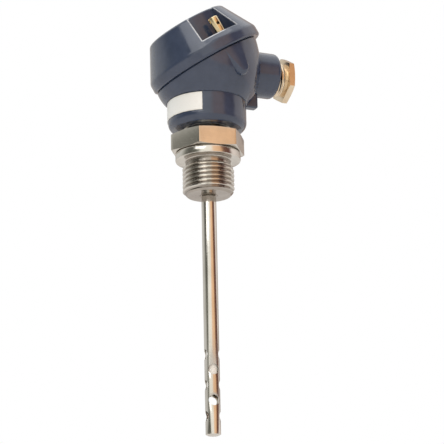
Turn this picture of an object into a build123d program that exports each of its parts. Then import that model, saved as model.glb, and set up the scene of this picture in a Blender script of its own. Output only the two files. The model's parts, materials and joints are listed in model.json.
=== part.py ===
from build123d import *
from math import cos, radians, sin, sqrt
import os

# Resistance temperature probe with a connection head, in millimetres.
# The origin is the centre of the fitting's sealing face, on the probe's axis.
# The probe hangs down along -Z, the head stands above, the cable leaves along +X.

# Clearances shared by the pieces
seat_clearance = 0.05  # round pieces that are screwed, welded or glued into each other
thread_clearance = 0.1  # threads that turn
loose_clearance = 0.3  # round pieces that pass through or turn in each other
overrun = 2.0  # how far a cutter reaches past the face that it cuts

# Perforated protection tube
tube_r = 3.0
tube_wall = 0.5
tube_reach = 112.0
tube_seat = 4.0
tube_seat_r = 2.8
tube_shoulder = 0.5
tube_turn = -9.5
vent_r = 2.1
vent_rows = 5
vent_pitch = 6.1
vent_lowest = 7.8
cap_height = 1.2
cap_edge = 0.5
cap_spigot = 2.2

# Ceramic parts and conductors inside the tube
insulator_clearance = 0.3
element_length = 25.0
element_tip = 19.0
element_edge = 0.4
conductor_r = 0.25
conductor_ring_r = 0.95
conductor_bore_clearance = 0.15

# Turned process fitting: pipe thread, flange, hexagon and upper nipple
thread_r = 10.4775
thread_length = 14.5
thread_end_chamfer = 0.9
relief_r = 9.2
relief_width = 2.1
flange_r = 13.25
flange_height = 2.95
flange_edge = 0.35
collar_r = 12.4
collar_height = 0.35
hexagon_flats = 27.0
hexagon_height = 7.5
hexagon_turn = -5.6
hexagon_corner_drop = 0.9
nipple_r = 10.0
nipple_height = 11.2
nipple_groove_r = 9.1
nipple_groove_width = 1.4
bore_mouth = 0.9

# Cast head: neck, bowl and slanted rim
neck_gap = 2.4
neck_r = 16.0
neck_foot_r = 14.1
neck_foot_height = 3.2
neck_height = 11.6
neck_thread_depth = 9.1
floor_hole_r = 6.5
floor_height = 1.7
wall = 2.4
bowl_foot_step = 0.4
bowl_lean = 2.2
rim_rise = 16.85
rim_r = 23.3
rim_tilt = 31.65
rim_edge = 0.5
# Bowl sections from neck to rim: height, tilt, growth of the radius, lean
bowl_section_shares = [(0, 0, 0, 0), (0.28, 0.41, 0.51, 1), (0.725, 0.79, 0.885, 0.63), (1, 1, 1, 0)]

# Lid screws and their bosses, a little towards the cable from the rim's centre
screw_offset = 1.6
screw_inset = 2.7
boss_r = 4.8
boss_depth = 13.0
boss_end_r = 3.2
screw_r = 1.5
screw_reach = 9.0
screw_head_gap = 0.05
screw_head_r = 2.0
screw_head_height = 6.8
screw_slot = 0.8
screw_slot_depth = 1.9
screw_cross_r = 0.7
screw_cross_depth = 3.6
screw_edge = 0.3
clip_r = 2.2
clip_thickness = 0.6
clip_groove_r = 1.1
clip_drop = 0.5
clip_well = 3.0

# Gasket between rim and lid
gasket_width = 1.3
gasket_height = 1.3
gasket_margin = 0.9

# Conical lid, which overhangs the rim and stands a little towards the cable
lid_overhang = 1.5
lid_offset = 0.8
lid_band = 4.2
lid_foot_edge = 1.0
lid_shoulder_edge = 3.0
lid_height = 18.4
lid_taper = 7.8
lid_top_edge = 2.0
lid_dome = 1.0
pocket_floor = 6.8
pocket_inset = 7.5
pocket_half_angle = 22.5
pocket_side_angle = 6.0
pocket_wall = 2.0
pocket_edge = 0.7

# Cable entry boss, lug and gland
entry_rise = 14.5
entry_r = 9.5
entry_lift = 1.2
entry_end = 30.4
entry_edge = 1.8
entry_bore_depth = 10.0
entry_hole_r = 5.4
lug_reach = 22.2
lug_width = 4.0
lug_rise = 0.3
lug_edge = 0.8
gland_thread_r = 7.2
gland_bore_r = 4.3
gland_stand_off = 3.4
gland_groove_r = 6.5
gland_groove_width = 0.9
gland_flats = 17.0
gland_turn = 30.0
gland_hexagon_height = 2.7
gland_corner_drop = 0.3
gland_mouth = 0.6
seal_length = 4.5
seal_hole_r = 3.4
washer_thickness = 0.8
washer_hole_r = 4.0

# Terminal block and what it holds
block_r = 12.0
block_height = 5.0
block_rib_width = 1.6
block_rib_height = 4.2
block_hole_r = 1.9
block_collar_r = 3.4
block_collar_height = 1.0
block_rib_end = 11.2
clamp_place = (6.6, 4.2)
clamp_size = (5.6, 4.4, 4.8)
clamp_hole_r = 0.75
clamp_screw_r = 1.0
clamp_screw_head_r = 1.7
clamp_screw_head_height = 1.3
block_screw_place = 9.2
block_screw_r = 1.25
block_screw_reach = 3.4
block_screw_head_r = 2.1
block_screw_head_height = 1.7
small_slot = 0.6
small_slot_depth = 0.7
lead_r = 0.4
lead_bend = 1.6
lead_turn_in = 1.2
lead_entry = 1.6

# Earth screw on its pad under the cable entry
pad_place = 14.6
pad_r = 2.3
pad_height = 3.2
ground_screw_r = 1.5
ground_screw_depth = 3.0
ground_head_r = 2.1
ground_head_height = 1.8

# Label glued around the neck
label_start_angle = -119.6
label_span_angle = 100.0
label_height = 7.5
label_drop = 0.35
label_thickness = 0.3

# Levels along the probe's axis
hexagon_base = flange_height + collar_height
hexagon_top = hexagon_base + hexagon_height
nipple_top = hexagon_top + nipple_height
neck_base = hexagon_top + neck_gap
neck_top = neck_base + neck_height
neck_shoulder = neck_base + neck_thread_depth
floor_level = neck_top + floor_height
rim_level = neck_top + rim_rise
entry_level = neck_top + entry_rise
block_top = floor_level + block_height
tube_base = -tube_reach
tube_top = -thread_length + tube_seat
tube_inner_r = tube_r - tube_wall
insulator_r = tube_inner_r - insulator_clearance
element_base = tube_base + element_tip
element_top = element_base + element_length
label_r = neck_r + seat_clearance
bowl_foot_r = neck_r + bowl_foot_step
screw_circle_r = rim_r - screw_inset
lid_r = rim_r + lid_overhang
lid_top_r = lid_r - lid_taper
lid_hollow_r = rim_r - wall - lid_offset
pocket_back_r = rim_r - pocket_inset

# Frames of the slanted rim and of the lid on it: across them, and through their axes
tilt_cos = cos(radians(rim_tilt))
tilt_sin = sin(radians(rim_tilt))
rim_plane = Plane(origin=(0, 0, rim_level), x_dir=(tilt_cos, 0, tilt_sin), z_dir=(-tilt_sin, 0, tilt_cos))
rim_section = Plane(origin=(0, 0, rim_level), x_dir=(tilt_cos, 0, tilt_sin), z_dir=(0, -1, 0))
rim_axis = Axis((0, 0, rim_level), (-tilt_sin, 0, tilt_cos))
lid_centre = (lid_offset * tilt_cos, 0, rim_level + lid_offset * tilt_sin)
lid_plane = Plane(origin=lid_centre, x_dir=rim_plane.x_dir, z_dir=rim_plane.z_dir)
lid_section = Plane(origin=lid_centre, x_dir=rim_section.x_dir, z_dir=rim_section.z_dir)
lid_axis = Axis(lid_centre, rim_axis.direction)
screw_centre = (screw_offset * tilt_cos, 0, rim_level + screw_offset * tilt_sin)
screw_plane = Plane(origin=screw_centre, x_dir=rim_plane.x_dir, z_dir=rim_plane.z_dir)
screw_section = Plane(origin=screw_centre, x_dir=rim_section.x_dir, z_dir=rim_section.z_dir)
entry_plane = Plane(origin=(0, 0, entry_level), x_dir=(0, 1, 0), z_dir=(1, 0, 0))
entry_section = Plane(origin=(0, 0, entry_level), x_dir=(1, 0, 0), z_dir=(0, -1, 0))
entry_axis = Axis((0, 0, entry_level), (1, 0, 0))
front = -1
back = 1


def hexagon_body(plane, flats, height, drop, turn):
    """Hexagon prism whose corners are turned off at both ends."""
    corner_r = flats / sqrt(3)
    flat_r = flats / 2
    with BuildPart() as prism:
        with BuildSketch(plane):
            RegularPolygon(corner_r, 6, rotation=turn)
        extrude(amount=height)
    section = Plane(origin=plane.origin, x_dir=plane.x_dir, z_dir=-plane.y_dir)
    with BuildPart() as turned:
        with BuildSketch(section):
            with BuildLine():
                Polyline(
                    (0, 0),
                    (flat_r, 0),
                    (corner_r + drop, drop),
                    (corner_r + drop, height - drop),
                    (flat_r, height),
                    (0, height),
                    close=True,
                )
            make_face()
        revolve(axis=Axis(plane.origin, plane.z_dir))
    return prism.part & turned.part


def bowl_loft(inset):
    """Skewed bowl from the neck's circle to the slanted rim, drawn in by the inset."""
    with BuildPart() as bowl:
        for rise, lean_over, growth, lean in bowl_section_shares:
            angle = radians(rim_tilt * lean_over)
            centre = (bowl_lean * lean, 0, neck_top + rim_rise * rise)
            radius = bowl_foot_r + (rim_r - bowl_foot_r) * growth - inset
            across = (cos(angle), 0, sin(angle))
            with BuildSketch(Plane(origin=centre, x_dir=across, z_dir=(-sin(angle), 0, cos(angle)))):
                Circle(radius)
        loft()
    return bowl.part


def sector(inner, outer, half_angle, side):
    """Face between two circles, about the front or the back of the rim."""
    start = 90 * side - half_angle
    with BuildSketch() as face:
        with BuildLine():
            near = CenterArc((0, 0), inner, start, 2 * half_angle)
            far = CenterArc((0, 0), outer, start, 2 * half_angle)
            Line(near @ 0, far @ 0)
            Line(near @ 1, far @ 1)
        make_face()
    return face.sketch


def gasket_outline(inset):
    """Outline that follows the rim and passes inside both lid screws."""
    detour = screw_r + loose_clearance + gasket_margin / 2 + inset
    Circle(rim_r - gasket_margin - inset)
    with Locations((screw_offset, 0)):
        with PolarLocations(screw_circle_r, 2, start_angle=90):
            Circle(detour, mode=Mode.SUBTRACT)
            Rectangle(rim_r, 2 * detour, align=(Align.MIN, Align.CENTER), mode=Mode.SUBTRACT)


def slotted_screw(plane, shank_r, reach, head_r, head_height):
    """Cheese-head screw whose head sits on the plane, with a slot across it."""
    with BuildPart() as screw:
        with BuildSketch(plane):
            Circle(head_r)
        extrude(amount=head_height)
        chamfer(screw.faces().sort_by(Axis(plane.origin, plane.z_dir))[-1].edges(), small_slot / 2)
        with BuildSketch(plane):
            Circle(shank_r)
        extrude(amount=-reach)
        with BuildSketch(plane.offset(head_height - small_slot_depth)):
            Rectangle(2 * head_r + overrun, small_slot)
        extrude(amount=small_slot_depth + overrun, mode=Mode.SUBTRACT)
    return screw.part


def boss_solid(side):
    """Lid screw boss under the rim, cut flush with the rim's own cylinder."""
    start = screw_section.offset(-side * screw_circle_r)
    with BuildPart() as post:
        with BuildSketch(start):
            with BuildLine():
                edge = Line((0, 0), (boss_r, 0))
                side_line = Line(edge @ 1, (boss_end_r, -boss_depth + boss_end_r))
                end = RadiusArc(side_line @ 1, (0, -boss_depth), boss_end_r)
                Line(end @ 1, (0, 0))
            make_face()
        revolve(axis=Axis(start.origin, rim_axis.direction))
        with BuildSketch(rim_plane):
            Circle(rim_r)
        extrude(amount=-2 * boss_depth, mode=Mode.INTERSECT)
    return post.part


# Process fitting, turned in one piece
fitting_hexagon = hexagon_body(
    Plane.XY.offset(hexagon_base), hexagon_flats, hexagon_height, hexagon_corner_drop, hexagon_turn
)
with BuildPart() as process_fitting:
    with BuildSketch(Plane.XZ):
        with BuildLine():
            Polyline(
                (tube_seat_r + seat_clearance + bore_mouth, -thread_length),
                (thread_r - thread_end_chamfer, -thread_length),
                (thread_r, -thread_length + thread_end_chamfer),
                (thread_r, -relief_width - (thread_r - relief_r)),
                (relief_r, -relief_width),
                (relief_r, 0),
                (flange_r - flange_edge, 0),
                (flange_r, flange_edge),
                (flange_r, flange_height - flange_edge),
                (flange_r - flange_edge, flange_height),
                (collar_r, flange_height),
                (collar_r, hexagon_base),
                (nipple_groove_r, hexagon_base),
                (nipple_groove_r, hexagon_top + nipple_groove_width),
                (nipple_r, hexagon_top + nipple_groove_width + (nipple_r - nipple_groove_r)),
                (nipple_r, nipple_top - flange_edge),
                (nipple_r - flange_edge, nipple_top),
                (tube_inner_r, nipple_top),
                (tube_inner_r, tube_top),
                (tube_seat_r + seat_clearance, tube_top),
                (tube_seat_r + seat_clearance, -thread_length + bore_mouth),
                close=True,
            )
        make_face()
    revolve(axis=Axis.Z)
    add(fitting_hexagon)
    with BuildSketch(Plane.XY.offset(hexagon_base - overrun)):
        Circle(tube_inner_r)
    extrude(amount=hexagon_height + 2 * overrun, mode=Mode.SUBTRACT)
process_fitting.part.label = "process_fitting"

# Protection tube with rows of vents, turned a quarter from row to row
with BuildPart() as probe_tube:
    with BuildSketch(Plane.XY.offset(tube_base + cap_height)):
        Circle(tube_r)
        Circle(tube_inner_r, mode=Mode.SUBTRACT)
    extrude(amount=-thread_length - tube_shoulder - tube_base - cap_height)
    with BuildSketch(Plane.XY.offset(-thread_length - tube_shoulder)):
        Circle(tube_seat_r)
        Circle(tube_inner_r, mode=Mode.SUBTRACT)
    extrude(amount=tube_seat + tube_shoulder)
    for row in range(vent_rows):
        angle = radians(tube_turn + 90 * (row % 2))
        level = tube_base + vent_lowest + row * vent_pitch
        along = (cos(angle), sin(angle), 0)
        with BuildSketch(Plane(origin=(0, 0, level), x_dir=(-sin(angle), cos(angle), 0), z_dir=along)):
            Circle(vent_r)
        extrude(amount=tube_r + overrun, both=True, mode=Mode.SUBTRACT)
probe_tube.part.label = "probe_tube"

# End cap, welded into the tube
with BuildPart() as tube_end_cap:
    with BuildSketch(Plane.XZ):
        with BuildLine():
            Polyline(
                (0, tube_base),
                (tube_r - 2 * cap_edge, tube_base + cap_edge / 2),
                (tube_r, tube_base + cap_edge + cap_edge / 2),
                (tube_r, tube_base + cap_height),
                (tube_inner_r - seat_clearance, tube_base + cap_height),
                (tube_inner_r - seat_clearance, tube_base + cap_height + cap_spigot),
                (0, tube_base + cap_height + cap_spigot),
                close=True,
            )
        make_face()
    revolve(axis=Axis.Z)
tube_end_cap.part.label = "tube_end_cap"

# Ceramic sensing element and the insulator above it
with BuildPart() as sensing_element:
    with BuildSketch(Plane.XY.offset(element_base)):
        Circle(insulator_r)
    extrude(amount=element_length)
    fillet(sensing_element.faces().sort_by(Axis.Z)[0].edges(), element_edge)
sensing_element.part.label = "sensing_element"

with BuildPart() as lead_insulator:
    with BuildSketch(Plane.XY.offset(element_top)):
        Circle(insulator_r)
        with PolarLocations(conductor_ring_r, 4, start_angle=45):
            Circle(conductor_r + conductor_bore_clearance, mode=Mode.SUBTRACT)
    extrude(amount=nipple_top - element_top)
lead_insulator.part.label = "lead_insulator"

with BuildPart() as element_leads:
    with BuildSketch(Plane.XY.offset(element_top)):
        with PolarLocations(conductor_ring_r, 4, start_angle=45):
            Circle(conductor_r)
    extrude(amount=nipple_top - element_top)
element_leads.part.label = "element_leads"

# Cast head body
bowl = bowl_loft(0)
bowl_inside = bowl_loft(wall)
front_boss = boss_solid(front)
back_boss = boss_solid(back)

with BuildPart() as wiring_space:
    add(bowl_inside)
    split(bisect_by=Plane.XY.offset(floor_level), keep=Keep.TOP)

with BuildSketch(rim_plane) as gasket_inside:
    gasket_outline(gasket_width)
with BuildPart() as gasket_ring:
    with BuildSketch(rim_plane):
        gasket_outline(0)
        add(gasket_inside.sketch_local, mode=Mode.SUBTRACT)
    extrude(amount=-gasket_height)

with BuildPart() as lug:
    with BuildSketch(Plane.XY.offset(neck_top + lug_rise)):
        with Locations((neck_r / 2, 0)):
            Rectangle(lug_reach - neck_r / 2, lug_width, align=(Align.MIN, Align.CENTER))
    extrude(amount=entry_rise - lug_rise)
    lug_end = lug.faces().sort_by(Axis.X)[-1].edges()
    lug_sides = lug.faces().sort_by(Axis.Z)[0].edges().filter_by(Axis.X)
    fillet(lug_end + lug_sides, lug_edge)

with BuildPart() as head_body:
    with BuildSketch(Plane.XZ):
        with BuildLine():
            base = Line((0, neck_base), (neck_foot_r, neck_base))
            round_off = RadiusArc(base @ 1, (neck_r, neck_base + neck_foot_height), -neck_foot_height)
            Polyline(round_off @ 1, (neck_r, neck_top + floor_height), (0, neck_top + floor_height), base @ 0)
        make_face()
    revolve(axis=Axis.Z)
    add(bowl)
    with BuildSketch(entry_plane.offset(entry_end / 2)):
        with Locations((0, entry_lift)):
            Circle(entry_r)
    extrude(amount=entry_end / 2)
    fillet(head_body.faces().sort_by(Axis.X)[-1].edges(), entry_edge)
    add(lug)
    add(wiring_space.part, mode=Mode.SUBTRACT)
    add(front_boss)
    add(back_boss)
    with BuildSketch(Plane.XY.offset(floor_level)):
        with Locations((pad_place, 0)):
            Circle(pad_r)
    extrude(amount=pad_height)
    with BuildSketch(Plane.XY.offset(neck_base)):
        Circle(nipple_r + seat_clearance)
    extrude(amount=neck_thread_depth, mode=Mode.SUBTRACT)
    with BuildSketch(Plane.XY.offset(neck_shoulder)):
        Circle(floor_hole_r)
    extrude(amount=floor_level - neck_shoulder, mode=Mode.SUBTRACT)
    with BuildSketch(entry_plane.offset(entry_end)):
        Circle(gland_thread_r + thread_clearance)
    extrude(amount=-entry_bore_depth, mode=Mode.SUBTRACT)
    with BuildSketch(entry_plane.offset(entry_end - entry_bore_depth)):
        Circle(entry_hole_r)
    extrude(amount=-(entry_end - entry_bore_depth) / 2, mode=Mode.SUBTRACT)
    with BuildSketch(screw_plane):
        with Locations((0, front * screw_circle_r), (0, back * screw_circle_r)):
            Circle(screw_r + loose_clearance)
    extrude(amount=-screw_reach - overrun, mode=Mode.SUBTRACT)
    add(gasket_ring.part, mode=Mode.SUBTRACT)
    with BuildSketch(rim_section):
        with BuildLine():
            Polyline(
                (rim_r - rim_edge, 0),
                (rim_r + overrun, 0),
                (rim_r + overrun, -rim_edge - overrun),
                close=True,
            )
        make_face()
    revolve(axis=rim_axis, mode=Mode.SUBTRACT)
    with BuildSketch(Plane.XY.offset(floor_level)):
        with Locations((0, front * block_screw_place), (0, back * block_screw_place)):
            Circle(block_screw_r + seat_clearance)
    extrude(amount=-block_screw_reach, mode=Mode.SUBTRACT)
    with BuildSketch(Plane.XY.offset(floor_level + pad_height)):
        with Locations((pad_place, 0)):
            Circle(ground_screw_r + seat_clearance)
    extrude(amount=-ground_screw_depth, mode=Mode.SUBTRACT)
head_body.part.label = "head_body"

# Gasket in the groove of the rim
with BuildPart() as lid_gasket:
    add(gasket_ring)
lid_gasket.part.label = "lid_gasket"


def on_lid_outside(edge):
    """Whether an edge of the pockets lies on the lid's cone or on its dome."""
    place = lid_plane.to_local_coords(edge @ (1 / 2))
    cone_r = lid_r - lid_taper * (place.Z - lid_band) / (lid_height - lid_band)
    return sqrt(place.X**2 + place.Y**2) > cone_r - pocket_edge or place.Z > lid_height - pocket_edge


# Conical cast lid, hollow, with a pocket and a boss for each lid screw
with BuildPart() as lid_hollow:
    with BuildSketch(lid_section):
        with BuildLine():
            Polyline(
                (0, 0),
                (lid_hollow_r, 0),
                (lid_hollow_r, lid_band + wall / 2),
                (lid_top_r - wall, lid_height - wall),
                (0, lid_height - wall),
                close=True,
            )
        make_face()
    revolve(axis=lid_axis)
    with BuildSketch(lid_plane.offset(pocket_floor - pocket_wall)):
        for side in (front, back):
            add(sector(pocket_back_r - pocket_wall, lid_r, pocket_half_angle + pocket_side_angle, side))
    extrude(amount=lid_height, mode=Mode.SUBTRACT)

with BuildPart() as head_lid:
    with BuildSketch(lid_section):
        with BuildLine():
            Polyline(
                (0, 0),
                (lid_r, 0),
                (lid_r, lid_band),
                (lid_top_r, lid_height),
                (0, lid_height + lid_dome),
                close=True,
            )
        make_face()
    revolve(axis=lid_axis)
    for order, radius in ((1, lid_shoulder_edge), (-1, lid_top_edge), (0, lid_foot_edge)):
        rings = head_lid.edges().filter_by(lambda edge: edge.is_closed)
        fillet(rings.sort_by(lid_axis)[order], radius)
    with BuildSketch(lid_plane.offset(pocket_floor)):
        for side in (front, back):
            add(sector(pocket_back_r, lid_r + overrun, pocket_half_angle, side))
    extrude(amount=lid_height, mode=Mode.SUBTRACT)
    fillet([edge for edge in head_lid.edges(Select.LAST) if on_lid_outside(edge)], pocket_edge)
    add(lid_hollow.part, mode=Mode.SUBTRACT)
    with BuildSketch(screw_plane):
        with PolarLocations(screw_circle_r, 2, start_angle=90):
            Circle(boss_r)
        Circle(rim_r - screw_offset, mode=Mode.INTERSECT)
    extrude(amount=pocket_floor)
    with BuildSketch(screw_plane):
        with PolarLocations(screw_circle_r, 2, start_angle=90):
            Circle(screw_r + loose_clearance)
    extrude(amount=pocket_floor + overrun, mode=Mode.SUBTRACT)
    with BuildSketch(screw_plane):
        with PolarLocations(screw_circle_r, 2, start_angle=90):
            Circle(clip_r + loose_clearance)
    extrude(amount=clip_well, mode=Mode.SUBTRACT)
head_lid.part.label = "head_lid"


def lid_screw(side):
    """Captive screw: tall slotted head with a cross hole, and a groove for its clip."""
    section = screw_section.offset(-side * screw_circle_r)
    axis = Axis(section.origin, rim_axis.direction)
    clip_top = clip_well - clip_drop
    clip_base = clip_top - clip_thickness
    with BuildPart() as screw:
        with BuildSketch(section):
            with BuildLine():
                Polyline(
                    (0, -screw_reach),
                    (screw_r - screw_edge, -screw_reach),
                    (screw_r, -screw_reach + screw_edge),
                    (screw_r, clip_base),
                    (clip_groove_r, clip_base),
                    (clip_groove_r, clip_top),
                    (screw_r, clip_top),
                    (screw_r, pocket_floor + screw_head_gap),
                    (screw_head_r, pocket_floor + screw_head_gap),
                    (screw_head_r, pocket_floor + screw_head_height - screw_edge),
                    (screw_head_r - screw_edge, pocket_floor + screw_head_height),
                    (0, pocket_floor + screw_head_height),
                    close=True,
                )
            make_face()
        revolve(axis=axis)
        top = Plane(origin=section.origin, x_dir=rim_plane.x_dir, z_dir=rim_plane.z_dir).offset(
            pocket_floor + screw_head_height - screw_slot_depth
        )
        with BuildSketch(top):
            Rectangle(2 * screw_head_r + overrun, screw_slot)
        extrude(amount=screw_slot_depth + overrun, mode=Mode.SUBTRACT)
        with BuildSketch(section):
            with Locations((0, pocket_floor + screw_cross_depth)):
                Circle(screw_cross_r)
        extrude(amount=screw_head_r + overrun, both=True, mode=Mode.SUBTRACT)
    return screw.part


def screw_clip(side):
    """Clip that sits in a lid screw's groove."""
    level = clip_well - clip_drop - clip_thickness
    with BuildPart() as clip:
        with BuildSketch(screw_plane.offset(level)):
            with Locations((0, side * screw_circle_r)):
                Circle(clip_r)
                Circle(clip_groove_r + seat_clearance, mode=Mode.SUBTRACT)
        extrude(amount=clip_thickness)
    return clip.part


with BuildPart() as lid_screw_front:
    add(lid_screw(front))
lid_screw_front.part.label = "lid_screw_front"
with BuildPart() as lid_screw_back:
    add(lid_screw(back))
lid_screw_back.part.label = "lid_screw_back"
with BuildPart() as screw_clip_front:
    add(screw_clip(front))
screw_clip_front.part.label = "screw_clip_front"
with BuildPart() as screw_clip_back:
    add(screw_clip(back))
screw_clip_back.part.label = "screw_clip_back"

# Cable gland: rubber seal, washer and hollow compression screw
seal_base = entry_end - entry_bore_depth
washer_base = seal_base + seal_length
gland_base = washer_base + washer_thickness
gland_shoulder = entry_end + gland_stand_off
with BuildPart() as gland_seal:
    with BuildSketch(entry_plane.offset(seal_base)):
        Circle(gland_thread_r)
        Circle(seal_hole_r, mode=Mode.SUBTRACT)
    extrude(amount=seal_length)
gland_seal.part.label = "gland_seal"
with BuildPart() as gland_washer:
    with BuildSketch(entry_plane.offset(washer_base)):
        Circle(gland_thread_r)
        Circle(washer_hole_r, mode=Mode.SUBTRACT)
    extrude(amount=washer_thickness)
gland_washer.part.label = "gland_washer"

gland_hexagon = hexagon_body(
    entry_plane.offset(gland_shoulder), gland_flats, gland_hexagon_height, gland_corner_drop, gland_turn
)
with BuildPart() as gland_screw:
    with BuildSketch(entry_section):
        with BuildLine():
            Polyline(
                (gland_base, gland_bore_r),
                (gland_base, gland_thread_r - screw_edge),
                (gland_base + screw_edge, gland_thread_r),
                (gland_shoulder - gland_groove_width, gland_thread_r),
                (gland_shoulder - gland_groove_width, gland_groove_r),
                (gland_shoulder + gland_hexagon_height / 2, gland_groove_r),
                (gland_shoulder + gland_hexagon_height / 2, gland_bore_r),
                close=True,
            )
        make_face()
    revolve(axis=entry_axis)
    add(gland_hexagon)
    with BuildSketch(entry_plane.offset(gland_shoulder - overrun)):
        Circle(gland_bore_r)
    extrude(amount=gland_hexagon_height + 2 * overrun, mode=Mode.SUBTRACT)
    with BuildSketch(entry_plane.offset(gland_shoulder + gland_hexagon_height - gland_mouth)):
        Circle(gland_bore_r)
    extrude(amount=gland_mouth, taper=-45, mode=Mode.SUBTRACT)
gland_screw.part.label = "gland_screw"

# Terminal block with ribs, clamps, screws and leads
with BuildPart() as terminal_block:
    with BuildSketch(Plane.XY.offset(floor_level)):
        Circle(block_r)
    extrude(amount=block_height)
    with BuildSketch(Plane.XY.offset(block_top)):
        Circle(block_collar_r)
    extrude(amount=block_collar_height)
    with BuildSketch(Plane.XY.offset(block_top)):
        with PolarLocations(0, 2):
            with Locations((block_collar_r, 0)):
                Rectangle(block_rib_end - block_collar_r, block_rib_width, align=(Align.MIN, Align.CENTER))
    extrude(amount=block_rib_height)
    with BuildSketch(Plane.XY.offset(floor_level)):
        Circle(block_hole_r)
        with Locations((0, front * block_screw_place), (0, back * block_screw_place)):
            Circle(block_screw_r + loose_clearance)
    extrude(amount=block_height + block_rib_height, mode=Mode.SUBTRACT)
terminal_block.part.label = "terminal_block"

clamp_spots = [(clamp_place[0] * x, clamp_place[1] * y) for x in (-1, 1) for y in (-1, 1)]
clamp_top = block_top + clamp_size[2]
clamp_hole_level = block_top + clamp_size[2] / 2
with BuildPart() as terminal_clamps:
    with BuildSketch(Plane.XY.offset(block_top)):
        with Locations(*clamp_spots):
            Rectangle(clamp_size[0], clamp_size[1])
    extrude(amount=clamp_size[2])
    with BuildSketch(Plane.YZ):
        with Locations((-clamp_place[1], clamp_hole_level), (clamp_place[1], clamp_hole_level)):
            Circle(clamp_hole_r)
    extrude(amount=clamp_place[0] + clamp_size[0], both=True, mode=Mode.SUBTRACT)
    with BuildSketch(Plane.XY.offset(clamp_hole_level)):
        with Locations(*clamp_spots):
            Circle(clamp_screw_r + seat_clearance)
    extrude(amount=clamp_size[2], mode=Mode.SUBTRACT)
terminal_clamps.part.label = "terminal_clamps"

with BuildPart() as terminal_screws:
    for spot in clamp_spots:
        add(slotted_screw(
            Plane(origin=(spot[0], spot[1], clamp_top)),
            clamp_screw_r,
            clamp_size[2] / 2 - clamp_hole_r,
            clamp_screw_head_r,
            clamp_screw_head_height,
        ))
terminal_screws.part.label = "terminal_screws"

with BuildPart() as block_screws:
    for side in (front, back):
        add(slotted_screw(
            Plane(origin=(0, side * block_screw_place, block_top)),
            block_screw_r,
            block_height + block_screw_reach,
            block_screw_head_r,
            block_screw_head_height,
        ))
block_screws.part.label = "block_screws"

with BuildPart() as ground_screw:
    add(slotted_screw(
        Plane(origin=(pad_place, 0, floor_level + pad_height)),
        ground_screw_r,
        ground_screw_depth,
        ground_head_r,
        ground_head_height,
    ))
ground_screw.part.label = "ground_screw"


def lead(x_side, y_side):
    """Insulated lead from the tube's mouth, up through the block and into a clamp."""
    start = conductor_ring_r / sqrt(2)
    clamp_face = clamp_place[0] - clamp_size[0] / 2
    rise = (x_side * start, y_side * start)
    turn = (x_side * (clamp_face - lead_turn_in), y_side * clamp_place[1])
    end = (x_side * (clamp_face + lead_entry), y_side * clamp_place[1])
    with BuildPart() as wire:
        with BuildLine() as route:
            FilletPolyline(
                (rise[0], rise[1], nipple_top),
                (rise[0], rise[1], clamp_hole_level),
                (turn[0], turn[1], clamp_hole_level),
                (end[0], end[1], clamp_hole_level),
                radius=lead_bend,
            )
        with BuildSketch(Plane(origin=(rise[0], rise[1], nipple_top))):
            Circle(lead_r)
        sweep(path=route.wire())
    return wire.part


with BuildPart() as lead_wires_red:
    for x_side in (-1, 1):
        add(lead(x_side, front))
lead_wires_red.part.label = "lead_wires_red"
with BuildPart() as lead_wires_white:
    for x_side in (-1, 1):
        add(lead(x_side, back))
lead_wires_white.part.label = "lead_wires_white"

# Label wrapped round the neck
with BuildPart() as type_label:
    with BuildSketch(Plane.XY.offset(neck_top - label_drop - label_height)):
        with BuildLine():
            inner = CenterArc((0, 0), label_r, label_start_angle - label_span_angle, label_span_angle)
            outer = CenterArc((0, 0), label_r + label_thickness, label_start_angle - label_span_angle, label_span_angle)
            Line(inner @ 0, outer @ 0)
            Line(inner @ 1, outer @ 1)
        make_face()
    extrude(amount=label_height)
type_label.part.label = "type_label"

pieces = [
    process_fitting,
    probe_tube,
    tube_end_cap,
    sensing_element,
    lead_insulator,
    element_leads,
    lead_wires_red,
    lead_wires_white,
    head_body,
    type_label,
    lid_gasket,
    head_lid,
    lid_screw_front,
    lid_screw_back,
    screw_clip_front,
    screw_clip_back,
    gland_seal,
    gland_washer,
    gland_screw,
    terminal_block,
    terminal_clamps,
    terminal_screws,
    block_screws,
    ground_screw,
]
os.makedirs("parts", exist_ok=True)
for piece in pieces:
    export_step(piece.part, "parts/" + piece.part.label + ".step")
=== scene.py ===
import bpy, bmesh, json
from math import cos, pi, radians, sin, sqrt
from mathutils import Matrix, Vector


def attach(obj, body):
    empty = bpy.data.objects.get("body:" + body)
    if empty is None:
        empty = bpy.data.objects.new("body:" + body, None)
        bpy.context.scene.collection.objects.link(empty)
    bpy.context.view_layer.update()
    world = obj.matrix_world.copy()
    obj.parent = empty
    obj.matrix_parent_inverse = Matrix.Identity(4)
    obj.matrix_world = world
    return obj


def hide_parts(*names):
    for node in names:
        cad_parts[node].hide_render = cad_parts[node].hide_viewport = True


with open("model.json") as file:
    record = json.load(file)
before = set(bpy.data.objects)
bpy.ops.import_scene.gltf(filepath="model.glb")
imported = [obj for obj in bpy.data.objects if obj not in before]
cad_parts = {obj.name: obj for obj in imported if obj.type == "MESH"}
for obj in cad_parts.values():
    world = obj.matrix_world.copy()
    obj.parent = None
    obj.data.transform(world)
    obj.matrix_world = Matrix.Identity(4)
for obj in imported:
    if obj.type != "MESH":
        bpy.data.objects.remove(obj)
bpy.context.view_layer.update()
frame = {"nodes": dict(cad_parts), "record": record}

mm = 0.001
nodes = frame["nodes"]

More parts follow.
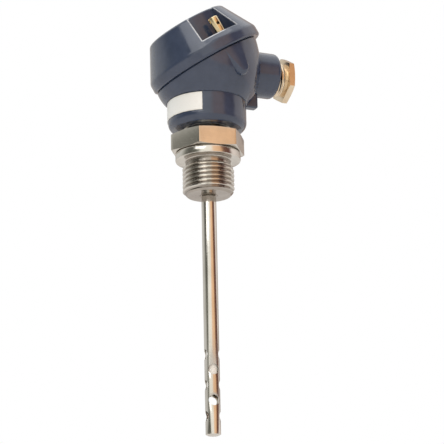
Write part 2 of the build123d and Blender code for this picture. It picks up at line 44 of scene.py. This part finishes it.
# Sizes shared with the solids, in millimetres
seat_clearance = 0.05
tube_r, tube_wall, tube_base, cap_height = 3.0, 0.5, -112.0, 1.2
tube_shoulder, tube_top, tube_seat_r = -15.0, -10.5, 2.8
vent_r, vent_lowest, vent_pitch, vent_rows = 2.1, -104.2, 6.1, 5
tube_turn = -9.5
thread_r, thread_pitch, thread_depth, thread_end = 10.4775, 1.814, 1.162, -14.5
relief_r, bore_mouth = 9.2, 0.9
flange_r, flange_height, flange_edge, collar_r = 13.25, 2.95, 0.35, 12.4
hexagon_base, hexagon_flats, hexagon_height, hexagon_turn = 3.3, 27.0, 7.5, -5.6
nipple_r, nipple_top, nipple_groove_r = 10.0, 22.0, 9.1
rim_level, rim_tilt, screw_offset, screw_circle_r = 41.65, radians(31.65), 1.6, 20.6
lid_offset, lid_r, lid_band, lid_taper, lid_rise = 0.8, 24.8, 4.2, 7.8, 14.2
pocket_floor, pocket_half = 6.8, radians(22.5)
screw_r, screw_head_r, screw_reach, clip_groove_r = 1.5, 2.0, 9.0, 1.1
screw_slot, screw_cross_r = 0.8, 0.7
entry_level, gland_base, gland_thread_r, gland_bore_r = 39.3, 25.71, 7.2, 4.3
gland_flats, gland_turn, gland_groove_r = 17.0, 30, 6.5
label_middle = 20.7


# Shader maths
class Reading:
    """A socket that can be used in sums, on either side of a number: each operation adds its Math node."""

    def __init__(self, finish, socket):
        self.finish, self.socket = finish, socket

    def sum(self, operation, *values):
        return self.finish.node("ShaderNodeMath", dict(operation=operation), dict(enumerate(values)))

    def __add__(self, other): return self.sum("ADD", self, other)
    def __radd__(self, other): return self.sum("ADD", other, self)
    def __sub__(self, other): return self.sum("SUBTRACT", self, other)
    def __rsub__(self, other): return self.sum("SUBTRACT", other, self)
    def __mul__(self, other): return self.sum("MULTIPLY", self, other)
    def __rmul__(self, other): return self.sum("MULTIPLY", other, self)
    def __truediv__(self, other): return self.sum("DIVIDE", self, other)
    def __pow__(self, other): return self.sum("POWER", self, other)
    def __abs__(self): return self.sum("ABSOLUTE", self)
    def over(self, other): return self.sum("MAXIMUM", self, other)

    def step(self, low, high, start=0.0, end=1.0):
        """Soft step from start to end while the reading goes from low to high."""
        return self.finish.node("ShaderNodeMapRange", dict(interpolation_type="SMOOTHSTEP"),
                                {"Value": self, "From Min": low, "From Max": high,
                                 "To Min": start, "To Max": end}, "Result")

    def fade(self, low, high):
        """One below low, nothing above high."""
        return self.step(low, high, 1.0, 0.0)


class Finish:
    """The nodes of one material, or of the surroundings."""

    def __init__(self, name, tree=None):
        if tree is None:
            self.material = bpy.data.materials.new(name)
            self.material.use_nodes = True
            tree = self.material.node_tree
        self.tree = tree
        tree.nodes.clear()

    def node(self, kind, settings=None, values=None, out=0):
        """Adds a node: its settings first, a ramp's stops among them, then its sockets' values or links."""
        made = self.tree.nodes.new(kind)
        for key, value in (settings or {}).items():
            if key == "stops":
                ramp = made.color_ramp.elements
                while len(ramp) < len(value):
                    ramp.new(0.5)
                for stop, (place, colour) in zip(ramp, value):
                    stop.position, stop.color = place, (*colour, 1)
            else:
                setattr(made, key, value)
        for key, value in (values or {}).items():
            socket = made.inputs[key]
            if isinstance(value, Reading):
                self.tree.links.new(value.socket, socket)
            elif socket.type == "RGBA" and len(value) == 3:
                socket.default_value = (*value, 1)
            else:
                socket.default_value = value
        return Reading(self, made.outputs[out]) if made.outputs else None

    def place(self):
        return self.node("ShaderNodeTexCoord", out="Object")

    def axes(self, vector):
        return [self.node("ShaderNodeSeparateXYZ", None, {0: vector}, axis) for axis in "XYZ"]

    def vector(self, x, y, z):
        return self.node("ShaderNodeCombineXYZ", None, {"X": x, "Y": y, "Z": z})

    def noise(self, vector, scale, detail, roughness=0.55):
        return self.node("ShaderNodeTexNoise", None, {"Vector": vector, "Scale": scale, "Detail": detail,
                                                      "Roughness": roughness}, "Fac")

    def blend(self, mask, first, second):
        """Colour that goes from the first to the second as the mask goes from 0 to 1."""
        return self.node("ShaderNodeMix", dict(data_type="RGBA"), {"Factor": mask, 6: first, 7: second}, 2)

    def bump(self, height, depth, strength, below=None):
        values = {"Height": height, "Distance": depth, "Strength": strength}
        if below is not None:
            values["Normal"] = below
        return self.node("ShaderNodeBump", None, values)

    def done(self, **sockets):
        """Closes the material: the sockets of its Principled shader, with _ for a space."""
        shader = self.node("ShaderNodeBsdfPrincipled", None,
                           {key.replace("_", " "): value for key, value in sockets.items()})
        self.node("ShaderNodeOutputMaterial", None, {"Surface": shader})
        return self.material


# Finishes
def painted_edge_highlights(f, place):
    """Painted highlight along the side and floor edges of the lid's two pockets, where the edges catch the
    light.
    """
    # Level of the lid's top edge, and the radius inside which no highlight is painted, with its blur
    top_edge, clear_r, blur = 18.0, 15.65, 0.25
    x, y, z = f.axes(place)
    up, along, slope = z - rim_level * mm, cos(rim_tilt), lid_taper / lid_rise
    lid_x = x * along + up * sin(rim_tilt) - lid_offset * mm
    lid_z = up * along - x * sin(rim_tilt)
    radius = (lid_x * lid_x + y * y) ** 0.5

    # Depth under the lid's cone and distance from the planes of the pockets' sides
    depth = (lid_r + slope * lid_band) * mm - lid_z * slope - radius
    side = abs(lid_x) * cos(pocket_half) - abs(y) * sin(pocket_half)
    skin = abs(depth).fade(0.30 * mm, 0.75 * mm).over((lid_z - top_edge * mm).step(-0.3 * mm, 0.2 * mm))
    inside = lid_z.step((pocket_floor - 0.5) * mm, pocket_floor * mm)

    # Towards the cable the painted highlight lines are narrower and weaker, and the floor's edge gets almost
    # none
    reach = lid_x.step(-1.0 * mm, 1.0 * mm, 0.85 * mm, 0.40 * mm)
    sides = abs(side).fade(0.20 * mm, reach) * inside * lid_x.step(-1.0 * mm, 1.0 * mm, 1.0, 0.7)
    base = abs(lid_z - pocket_floor * mm).fade(0.25 * mm, 0.60 * mm) * side.fade(0.0, 0.4 * mm)
    base = base * lid_x.step(0.5 * mm, 2.5 * mm, 1.0, 0.12)
    # Noise that breaks up the painted highlight
    highlight_breakup = f.noise(place, 520.0, 3.0, 0.7).step(0.30, 0.55, 0.35, 1.0)
    return sides.over(base) * skin * highlight_breakup * radius.step((clear_r - blur) * mm, (clear_r + blur) * mm)


def navy_paint(name="navy_paint", painted_highlights=False):
    """Stoved gloss enamel over a die casting: slight orange peel, soft waves of the casting, fine dust."""
    f = Finish(name)
    place = f.place()
    waves = f.noise(place, 70.0, 2.0)
    peel = f.noise(place, 900.0, 3.0, 0.6)
    dust = f.noise(place, 5200.0, 1.0).step(0.74, 0.80)
    cloud = f.noise(place, 160.0, 4.0)
    colour = f.blend(cloud.step(0.3, 0.75), (0.036, 0.050, 0.088), (0.046, 0.062, 0.106))
    colour = f.blend(dust * 0.35, colour, (0.14, 0.15, 0.18))
    # Painted highlight: a pale colour mixed into the paint along the lid pockets' edges
    if painted_highlights:
        highlight_colour = (0.72, 0.76, 0.82)
        colour = f.blend(painted_edge_highlights(f, place) * 0.9, colour, highlight_colour)
    rough = cloud.step(0.25, 0.8, 0.11, 0.17) + dust * 0.2
    normal = f.bump(waves, 0.0007, 0.35)
    normal = f.bump(peel, 0.00003, 0.35, normal)
    return f.done(Base_Color=colour, Roughness=rough, Normal=normal, IOR=1.5, Coat_Weight=0.3,
                  Coat_Roughness=0.05)


def turned_metal(name, colour, tint, rough, along="Z", root_shade=None):
    """Lathe-turned metal: fine rings round the axis, uneven polish and light handling marks.

    Root shade is painted shade in a thread's roots, its relief and its end face: its colour, the radius where
    it is full, the radius where it ends and the level that it stays under.
    """
    f = Finish(name)
    place = f.place()
    x, y, z = f.axes(place)
    if along == "X":
        x, z = z - entry_level * mm, x
    radius = (x * x + y * y) ** 0.5
    rings = f.noise(f.vector(radius, 0.0, z), 5200.0, 2.0, 0.5)
    patches = f.noise(place, 130.0, 4.0, 0.6)
    scuffs = f.noise(f.vector(x * 9.0, y * 9.0, z), 420.0, 2.0).step(0.60, 0.78)
    shade = f.blend(patches.step(0.3, 0.7), colour, tint)
    # Painted shade: darker in the thread's roots, the relief and the end face
    if root_shade:
        shade_colour, root, crest, level = root_shade
        deep = radius.fade(root * mm, crest * mm) * z.fade((level - 0.1) * mm, level * mm)
        shade = f.blend(deep * patches.step(0.2, 0.8, 0.75, 1.0), shade, shade_colour)
    polish = rings.step(0.25, 0.75, rough - 0.05, rough + 0.06)
    polish = polish + patches.step(0.35, 0.8, 0.0, 0.07) + scuffs * 0.08
    normal = f.bump(rings, 0.00003, 0.30)
    normal = f.bump(scuffs, 0.00002, 0.15, normal)
    return f.done(Base_Color=shade, Metallic=1.0, Roughness=polish, Normal=normal)


def drawn_metal(name, colour, tint, rough):
    """Drawn tube or bar: faint streaks along its length, with soft bands of polish round it."""
    f = Finish(name)
    place = f.place()
    x, y, z = f.axes(place)
    streaks = f.noise(f.vector(x, y, z * 0.02), 3800.0, 2.0)
    bands = f.noise(f.vector(x * 0.1, y * 0.1, z), 260.0, 3.0)
    patches = f.noise(place, 90.0, 4.0, 0.6)
    shade = f.blend(patches.step(0.3, 0.7), colour, tint)
    polish = streaks.step(0.25, 0.75, rough - 0.03, rough + 0.05) + bands.step(0.4, 0.8, 0.0, 0.05)
    normal = f.bump(streaks, 0.00002, 0.22)
    normal = f.bump(bands, 0.00006, 0.15, normal)
    return f.done(Base_Color=shade, Metallic=1.0, Roughness=polish, Normal=normal)


def white_ceramic():
    """Unglazed steatite: matt, with fine specks and a faint waviness from pressing."""
    f = Finish("white_ceramic")
    place = f.place()
    grain = f.noise(place, 3200.0, 3.0, 0.7)
    cloud = f.noise(place, 240.0, 3.0)
    specks = f.noise(place, 4200.0, 1.0).step(0.72, 0.78)
    colour = f.blend(cloud.step(0.3, 0.7), (0.88, 0.87, 0.84), (0.82, 0.81, 0.77))
    colour = f.blend(specks * 0.5, colour, (0.42, 0.38, 0.32))
    normal = f.bump(grain, 0.00005, 0.35)
    return f.done(Base_Color=colour, Roughness=cloud.step(0.2, 0.8, 0.48, 0.62), Normal=normal)


def rubber(name, colour, bloom):
    """Moulded rubber with a dusty bloom."""
    f = Finish(name)
    place = f.place()
    skin = f.noise(place, 2600.0, 4.0, 0.65)
    cloud = f.noise(place, 300.0, 3.0)
    shade = f.blend(cloud.step(0.35, 0.8), colour, bloom)
    normal = f.bump(skin, 0.00004, 0.5)
    return f.done(Base_Color=shade, Roughness=cloud.step(0.2, 0.8, 0.55, 0.75), Normal=normal)


def label_film():
    """Cream paper label under clear film: paper fibres, a faint ripple and painted shade along its upper and
    lower edges.
    """
    f = Finish("label_film")
    place = f.place()
    x, y, z = f.axes(place)
    fibres = f.noise(f.vector(x, y, z * 3.0), 1500.0, 4.0, 0.7)
    ripple = f.noise(place, 160.0, 2.0)
    # Painted shade along the label's upper and lower edges, where the body's overhang shades the upper one
    edges = abs(z - label_middle * mm).step(3.0 * mm, 3.7 * mm)
    colour = f.blend(fibres.step(0.3, 0.7), (0.90, 0.905, 0.89), (0.86, 0.865, 0.84))
    colour = f.blend(edges * 0.35, colour, (0.72, 0.69, 0.60))
    normal = f.bump(ripple, 0.0002, 0.4)
    normal = f.bump(fibres, 0.00002, 0.3, normal)
    return f.done(Base_Color=colour, Roughness=fibres.step(0.2, 0.8, 0.30, 0.40), Normal=normal)


def sleeve(name, colour, worn):
    """Woven glass sleeving of a lead, varnished."""
    f = Finish(name)
    weave = f.node("ShaderNodeTexWave", dict(wave_type="BANDS", bands_direction="DIAGONAL"),
                   {"Vector": f.place(), "Scale": 900.0, "Distortion": 2.0, "Detail": 2.0}, "Fac")
    shade = f.blend(weave * 0.5, colour, worn)
    normal = f.bump(weave, 0.00005, 0.5)
    return f.done(Base_Color=shade, Roughness=weave.step(0.2, 0.8, 0.35, 0.5), Normal=normal)


# root_shade_colour is the painted shade for the fitting's thread roots, relief and end face
steel, worn_steel, root_shade_colour = (0.68, 0.65, 0.60), (0.60, 0.57, 0.52), (0.35, 0.31, 0.275)
stainless = turned_metal("stainless_turned", steel, worn_steel, 0.15, root_shade=(root_shade_colour, 9.55, 10.2, -0.1))
stainless_drawn = drawn_metal("stainless_drawn", steel, worn_steel, 0.13)
finish_of = {
    "navy_paint": navy_paint(),
    "stainless": stainless,
    "brass": drawn_metal("brass_bar", (0.74, 0.63, 0.40), (0.66, 0.54, 0.32), 0.22),
    "plated_brass": turned_metal("plated_brass", (0.78, 0.66, 0.50), (0.70, 0.56, 0.40), 0.17, along="X"),
    "zinc_steel": drawn_metal("zinc_steel", (0.55, 0.57, 0.58), (0.47, 0.48, 0.47), 0.32),
    "white_ceramic": white_ceramic(),
    "black_rubber": rubber("black_rubber", (0.016, 0.016, 0.017), (0.035, 0.035, 0.036)),
    "grey_silicone": rubber("grey_silicone", (0.16, 0.17, 0.18), (0.23, 0.24, 0.25)),
    "label_film": label_film(),
    "red_sleeve": sleeve("red_sleeve", (0.42, 0.030, 0.020), (0.26, 0.016, 0.012)),
    "white_sleeve": sleeve("white_sleeve", (0.78, 0.77, 0.73), (0.58, 0.57, 0.53)),
}
slot_of = {row["node"]: row["material_slot"] for row in frame["record"]["subparts"]}


def dress(piece, material):
    piece.data.materials.clear()
    piece.data.materials.append(material)


# Mesh work
def smooth(mesh, angle=32):
    for face in mesh.polygons:
        face.use_smooth = True
    mesh.set_sharp_from_angle(angle=radians(angle))


def shown(name, work, angle=32):
    """Puts the worked mesh into the scene as a smooth piece."""
    mesh = bpy.data.meshes.new(name)
    work.to_mesh(mesh)
    work.free()
    smooth(mesh, angle)
    piece = bpy.data.objects.new(name, mesh)
    bpy.context.scene.collection.objects.link(piece)
    return piece


def piece_from(name, work, angle=32):
    """The same, after its faces are turned outwards."""
    bmesh.ops.recalc_face_normals(work, faces=work.faces)
    return shown(name, work, angle)


def point(work, radius, angle, level):
    return work.verts.new((radius * cos(angle) * mm, radius * sin(angle) * mm, level * mm))


def turned(work, outline, segments, closed=False):
    """Turns an outline of (radius, level) round Z; a radius of zero closes in one point."""
    rows = []
    for radius, level in outline:
        if radius == 0:
            rows.append([work.verts.new((0, 0, level * mm))] * segments)
        else:
            rows.append([point(work, radius, 2 * pi * i / segments, level) for i in range(segments)])
    for low, high in zip(rows, rows[1:] + rows[:1] if closed else rows[1:]):
        for i in range(segments):
            j = (i + 1) % segments
            ring = list(dict.fromkeys((low[i], low[j], high[j], high[i])))
            if len(ring) > 2:
                work.faces.new(ring)


def threaded(work, radius, depth, pitch, low, high, low_r, high_r, segments):
    """Helical thread between two levels, run out to a given radius at each end."""
    groove = [(0.0, 0.0), (0.08, 0.0), (0.2, 0.35), (0.38, 0.92), (0.46, 1.0), (0.54, 1.0), (0.62, 0.92),
              (0.80, 0.35), (0.92, 0.0)]     # share of the pitch, share of the depth
    flat, weld = 1e-7, 2e-6
    rows = []
    for turn in range(-1, int((high - low) / pitch) + 3):
        for share, deep in groove:
            ring = []
            for i in range(segments + 1):
                level = low + (turn - 0.5 + share + i / segments) * pitch
                fitted = min(max(level, low), high)
                run_in = min(low_r + (fitted - low), high_r + (high - fitted))
                r = radius - depth * deep if low < level < high else radius
                ring.append(point(work, min(r, run_in), 2 * pi * i / segments, fitted))
            rows.append(ring)
    for lower, upper in zip(rows, rows[1:]):
        for i in range(segments):
            corners = (lower[i], lower[i + 1], upper[i + 1], upper[i])
            if max(v.co.z for v in corners) - min(v.co.z for v in corners) > flat:
                work.faces.new(corners)
    bmesh.ops.remove_doubles(work, verts=work.verts, dist=weld)
    bmesh.ops.delete(work, geom=[v for v in work.verts if not v.link_faces], context="VERTS")


def prism(work, low, high):
    """Closes a straight bar between two rings of corners."""
    work.faces.new(low)
    work.faces.new(high)
    for i in range(len(low)):
        j = (i + 1) % len(low)
        work.faces.new((low[i], low[j], high[j], high[i]))


def settle(piece):
    """Applies the piece's modifiers."""
    ready = piece.evaluated_get(bpy.context.evaluated_depsgraph_get())
    mesh = bpy.data.meshes.new_from_object(ready)
    piece.modifiers.clear()
    old = piece.data
    piece.data = mesh
    bpy.data.meshes.remove(old)
    mesh.name = piece.name


def carve(piece, tool, operation="DIFFERENCE"):
    """Cuts the piece with the tool, or keeps only what both share, and removes the tool."""
    step = piece.modifiers.new("cut", "BOOLEAN")
    step.operation, step.solver, step.object = operation, "EXACT", tool
    settle(piece)
    bpy.data.objects.remove(tool)


def soften(piece, width, angle):
    """Breaks the edges that are sharper than an angle, as a file or a tumbler does."""
    step = piece.modifiers.new("edge", "BEVEL")
    step.width, step.segments, step.limit_method, step.angle_limit = width * mm, 2, "ANGLE", radians(angle)
    step.use_clamp_overlap = True
    settle(piece)


def hexagon(name, flats, base, height, drop, turn, segments):
    """Hexagon with turned-off corners, standing on the base level."""
    corner, flat, overrun = flats / sqrt(3), flats / 2, 1
    faced, rise = flat - 0.15, drop + 0.1     # where the turned-off corner starts and ends
    work = bmesh.new()
    turned(work, [(0, 0), (faced, 0), (corner + drop, rise), (corner + drop, height - rise), (faced, height),
                  (0, height)], segments)
    round_part = piece_from(name + "_round", work)
    work = bmesh.new()
    prism(work, *[[point(work, corner, radians(turn + 60 * i), level) for i in range(6)]
                  for level in (-overrun, height + overrun)])
    nut = piece_from(name, work)
    carve(nut, round_part, "INTERSECT")
    nut.data.transform(Matrix.Translation((0, 0, base * mm)))
    return nut


def joined(name, pieces):
    """One piece from several, keeping their places."""
    work = bmesh.new()
    for piece in pieces:
        piece.data.transform(piece.matrix_world)
        work.from_mesh(piece.data)
    for piece in pieces:
        bpy.data.objects.remove(piece)
    return shown(name, work)


def post(name, radius, start, end, segments):
    """Round bar between two points, used as a cutter."""
    start, way = Vector(start), Vector(end) - Vector(start)
    work = bmesh.new()
    turned(work, [(0, 0), (radius, 0), (radius, way.length), (0, way.length)], segments)
    piece = piece_from(name, work)
    piece.data.transform(Matrix.Translation(start * mm) @ way.to_track_quat("Z", "Y").to_matrix().to_4x4())
    return piece


def finished(piece, body, material, slot, *replaced):
    dress(piece, material)
    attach(piece, body)
    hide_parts(*replaced)
    return piece


# Process fitting
def process_fitting():
    """Turned stainless fitting: pipe thread, relief, flange, hexagon and upper nipple."""
    seat, bore, segments = tube_seat_r + seat_clearance, tube_r - tube_wall, 128
    end_r, run_out, thread_root_r, thread_start = 9.0, 0.15, thread_r - thread_depth, -2.25
    collar_edge, relief_edge, groove_top, nipple_edge = 0.15, 0.25, 12.2, (0.6, 0.5)
    drill_low, drill_high = 2, 12
    # The flange's rounded edge, from its face to its rim
    edge = [(flange_r - flange_edge, 0.0), (flange_r - 0.1, 0.1), (flange_r, flange_edge)]
    work = bmesh.new()
    turned(work, [
        (end_r, thread_end + run_out), (end_r - run_out, thread_end), (seat + bore_mouth, thread_end),
        (seat, thread_end + bore_mouth), (seat, tube_top), (bore, tube_top), (bore, nipple_top),
        (nipple_r - nipple_edge[0], nipple_top), (nipple_r, nipple_top - nipple_edge[1]),
        (nipple_r, groove_top + nipple_r - nipple_groove_r), (nipple_groove_r, groove_top),
        (nipple_groove_r, hexagon_base), (collar_r - collar_edge, hexagon_base),
        (collar_r, hexagon_base - collar_edge), (collar_r, flange_height),
        *[(r, flange_height - level) for r, level in edge], *reversed(edge),
        (relief_r + relief_edge, 0.0), (relief_r, -relief_edge), (relief_r, thread_start + run_out),
        (thread_root_r, thread_start)], segments)
    core = piece_from("fitting_core", work)
    work = bmesh.new()
    threaded(work, thread_r, thread_depth, thread_pitch, thread_end + run_out, thread_start, end_r,
             thread_root_r, segments)
    pipe_thread = piece_from("fitting_thread", work, 50)
    nut = hexagon("fitting_hexagon", hexagon_flats, hexagon_base, hexagon_height, 0.5, hexagon_turn, segments)
    carve(nut, post("hexagon_bore", nipple_groove_r, (0, 0, drill_low), (0, 0, drill_high), segments))
    soften(nut, 0.22, 24)
    return joined("process_fitting_turned", [core, pipe_thread, nut])


finished(process_fitting(), "probe", stainless, "stainless", "process_fitting")


# Perforated tube
def vented_tube():
    """Tube with five rows of vents, a quarter turn apart, whose edges are deburred."""
    inner, base = tube_r - tube_wall, tube_base + cap_height
    weld_edge, edge, cutter_half = 0.05, 0.1, 5
    work = bmesh.new()
    turned(work, [(tube_r, base + weld_edge), (tube_r, tube_shoulder - edge), (tube_r - edge, tube_shoulder),
                  (tube_seat_r, tube_shoulder), (tube_seat_r, tube_top - edge), (tube_seat_r - edge, tube_top),
                  (inner, tube_top), (inner, base), (tube_r - weld_edge, base)], 96, closed=True)
    tube = piece_from("probe_tube_vented", work)
    for row in range(vent_rows):
        angle, level = radians(tube_turn + 90 * (row % 2)), vent_lowest + vent_pitch * row
        way = Vector((cos(angle), sin(angle), 0)) * cutter_half
        carve(tube, post("vent_drill", vent_r, (-way.x, -way.y, level), (way.x, way.y, level), 64))
    soften(tube, 0.10, 40)
    smooth(tube.data, 35)
    return tube


finished(vented_tube(), "probe", stainless_drawn, "stainless", "probe_tube")


# Captive lid screws
def lid_screw(name):
    """Brass screw with a tall head: slot, cross hole, clip groove and fine thread, standing on Z = 0."""
    segments, cutter_half = 64, 4
    end_r, thread_low, thread_high, thread_high_r = 1.15, -8.9, -0.6, 1.3
    shank_r, groove_base, groove_top = 1.47, 1.9, 2.5
    head_base, head_top, slot_floor, cross_level = 6.85, 13.6, 11.7, 10.4
    work = bmesh.new()
    turned(work, [(0, -screw_reach), (1.0, -screw_reach), (end_r, thread_low)], segments)
    turned(work, [(thread_high_r, thread_high), (shank_r, -0.4), (shank_r, groove_base),
                  (clip_groove_r, groove_base), (clip_groove_r, groove_top), (screw_r, groove_top),
                  (screw_r, head_base), (screw_head_r - 0.1, head_base), (screw_head_r, head_base + 0.1),
                  (screw_head_r, head_top - 0.3), (screw_head_r - 0.07, head_top - 0.13),
                  (screw_head_r - 0.3, head_top), (0, head_top)], segments)
    threaded(work, screw_r, 0.307, 0.5, thread_low, thread_high, end_r, thread_high_r, segments)
    screw = piece_from(name, work, 40)
    saw, half, saw_top = bmesh.new(), screw_slot / 2, 15
    outline = ((-cutter_half, -half), (cutter_half, -half), (cutter_half, half), (-cutter_half, half))
    prism(saw, *[[saw.verts.new((x * mm, y * mm, z * mm)) for x, y in outline] for z in (slot_floor, saw_top)])
    carve(screw, piece_from("slot_saw", saw))
    carve(screw, post("cross_drill", screw_cross_r, (0, -cutter_half, cross_level),
                      (0, cutter_half, cross_level), 32))
    soften(screw, 0.08, 40)
    smooth(screw.data, 40)
    return screw


rim_x = Vector((cos(rim_tilt), 0, sin(rim_tilt)))
rim_up = Vector((-sin(rim_tilt), 0, cos(rim_tilt)))
rim_frame = Matrix((rim_x, Vector((0, 1, 0)), rim_up)).transposed().to_4x4()
for side, body, sign in (("front", "front_screw", -1), ("back", "back_screw", 1)):
    screw = lid_screw("lid_screw_%s_turned" % side)
    foot = rim_x * screw_offset + Vector((0, sign * screw_circle_r, rim_level))
    screw.data.transform(Matrix.Translation(foot * mm) @ rim_frame)
    finished(screw, body, finish_of["brass"], "brass", "lid_screw_" + side)


# Compression screw of the cable entry
def compression_screw():
    """Hollow hexagon screw: threaded barrel, undercut, hexagon and rounded cable mouth, along X."""
    segments, barrel_r, thread_high, thread_high_r, nut_base = 96, 6.85, 32.9, 6.65, 33.8
    drill_r, drill_low, drill_high = 5.4, 30, 40
    mouth = [(gland_bore_r, 35.75), (4.5, 36.2), (4.9, 36.42), (5.4, 36.47), (gland_groove_r, 36.2)]
    work = bmesh.new()
    turned(work, [(barrel_r, gland_base), (gland_bore_r, gland_base), *mouth,
                  (gland_groove_r, thread_high + 0.1), (thread_high_r, thread_high)], segments)
    barrel = piece_from("gland_barrel", work)
    work = bmesh.new()
    threaded(work, gland_thread_r, 0.55, 1.41, gland_base, thread_high, barrel_r, thread_high_r, segments)
    barrel_thread = piece_from("gland_thread", work, 50)
    nut = hexagon("gland_hexagon", gland_flats, nut_base, 2.69, 0.3, gland_turn, segments)
    carve(nut, post("gland_bore", drill_r, (0, 0, drill_low), (0, 0, drill_high), segments))
    soften(nut, 0.12, 24)
    screw = joined("gland_screw_turned", [barrel, barrel_thread, nut])
    entry_frame = Matrix(((0, 0, 1, 0), (1, 0, 0, 0), (0, 1, 0, entry_level * mm), (0, 0, 0, 1)))
    screw.data.transform(entry_frame)
    return screw


finished(compression_screw(), "compression_screw", finish_of["plated_brass"], "plated_brass", "gland_screw")


# Finishes of the solids that stay
for name, solid in nodes.items():
    dress(solid, finish_of[slot_of[name]])
dress(nodes["tube_end_cap"], stainless_drawn)
# The lid's paint carries a painted highlight along its pockets' edges
dress(nodes["head_lid"], navy_paint("navy_paint_lid", painted_highlights=True))


# Camera: its angles and its distance in metres, then the point that it aims at, in millimetres
# to the right of the origin and below it, and then its focal length and the picture's side in pixels
look_turn, look_rise, look_roll, look_far = radians(-23.4719), radians(-15.8837), radians(1.2235), 0.7
aim_right, aim_down = 5.1196, 24.5678
focal_length, picture_side, film_side = 1724.9264, 444, 36
right = Vector((cos(look_turn), sin(look_turn), 0))
up = Vector((-sin(look_turn) * sin(look_rise), cos(look_turn) * sin(look_rise), cos(look_rise)))
back = right.cross(up)
camera = bpy.data.objects.new("camera", bpy.data.cameras.new("camera"))
camera.data.lens, camera.data.sensor_width = film_side * focal_length / picture_side, film_side
camera.data.clip_start, camera.data.clip_end = 0.05, 20
turn = Matrix((right, up, back)).transposed() @ Matrix.Rotation(-look_roll, 3, "Z")
aim = right * aim_right * mm - up * aim_down * mm
camera.matrix_world = Matrix.Translation(aim + back * look_far) @ turn.to_4x4()
bpy.context.scene.collection.objects.link(camera)
bpy.context.scene.camera = camera
bpy.context.scene.view_settings.view_transform = "Standard"


# Studio
def surroundings():
    """White studio whose walls carry a few warm and dark boards that the metal mirrors."""
    white, floor_light, glow = (1.0, 1.0, 1.0), (0.80, 0.79, 0.77), 1.2
    boards = [      # share of the way round, with the camera in the middle
        (0.00, (0.42, 0.38, 0.35)), (0.13, (0.62, 0.62, 0.60)), (0.20, (0.62, 0.62, 0.60)),
        (0.24, (0.42, 0.42, 0.39)), (0.27, (0.18, 0.18, 0.16)), (0.31, (0.10, 0.10, 0.09)),
        (0.40, (0.15, 0.15, 0.12)), (0.435, (1.0, 1.0, 0.95)), (0.53, (1.0, 0.97, 0.89)),
        (0.56, (0.95, 0.64, 0.42)), (0.63, (0.90, 0.56, 0.33)), (0.66, (0.18, 0.08, 0.055)),
        (0.73, (0.14, 0.065, 0.05)), (0.76, (0.88, 0.79, 0.75)), (0.86, (0.70, 0.64, 0.60)),
        (0.92, (0.42, 0.35, 0.31))]
    world = bpy.data.worlds.new("studio")
    world.use_nodes = True
    bpy.context.scene.world = world
    f = Finish("studio", world.node_tree)
    x, y, z = f.axes(f.node("ShaderNodeTexCoord", out="Generated"))
    front = x * back.x + y * back.y
    side = x * right.x + y * right.y
    angle = side.sum("ARCTAN2", side, front) / (2 * pi) + 0.5
    walls = f.node("ShaderNodeValToRGB", dict(stops=boards), {"Fac": angle}, "Color")
    colour = f.blend(z.step(0.55, 0.85), walls, white)
    colour = f.blend((0.0 - z).step(0.15, 0.45), colour, floor_light)
    seen = f.node("ShaderNodeLightPath", out="Is Camera Ray")
    lit = f.node("ShaderNodeVectorMath", dict(operation="SCALE"), {0: colour, "Scale": glow})
    light = f.node("ShaderNodeBackground", None, {"Color": f.blend(seen, lit, white), "Strength": 1.0})
    f.node("ShaderNodeOutputWorld", None, {"Surface": light})


surroundings()


def soft_lamp(name, turn, rise, width, height, radiance):
    """Soft box at an angle round the object from the camera, aimed at the head."""
    middle, far = Vector((0, 0, 0.01)), 1.6
    level = Vector((back.x, back.y, 0)).normalized()
    way = (level * cos(turn) + right * sin(turn)) * cos(rise) + Vector((0, 0, 1)) * sin(rise)
    lamp = bpy.data.lights.new(name, "AREA")
    lamp.shape, lamp.size, lamp.size_y = "RECTANGLE", width, height
    lamp.energy = radiance * pi * width * height
    piece = bpy.data.objects.new(name, lamp)
    facing = way.to_track_quat("Z", "Y").to_matrix().to_4x4()
    piece.matrix_world = Matrix.Translation(middle + way * far) @ facing
    bpy.context.scene.collection.objects.link(piece)


soft_lamp("key_lamp", radians(-28), radians(34), 0.9, 0.9, 1.9)
soft_lamp("top_lamp", radians(10), radians(68), 1.0, 0.8, 1.2)

# Pale floor, under the camera as well, in metres
floor_half, floor_level = 3, -0.5
work = bmesh.new()
work.faces.new([work.verts.new((x * floor_half, y * floor_half, floor_level))
                for x, y in ((-1, -1), (1, -1), (1, 1), (-1, 1))])
floor_piece = piece_from("studio_floor", work)
f = Finish("studio_floor")
tone = f.noise(f.place(), 6.0, 2.0)
dress(floor_piece, f.done(Base_Color=f.blend(tone, (0.86, 0.86, 0.85), (0.84, 0.84, 0.83)), Roughness=0.9))
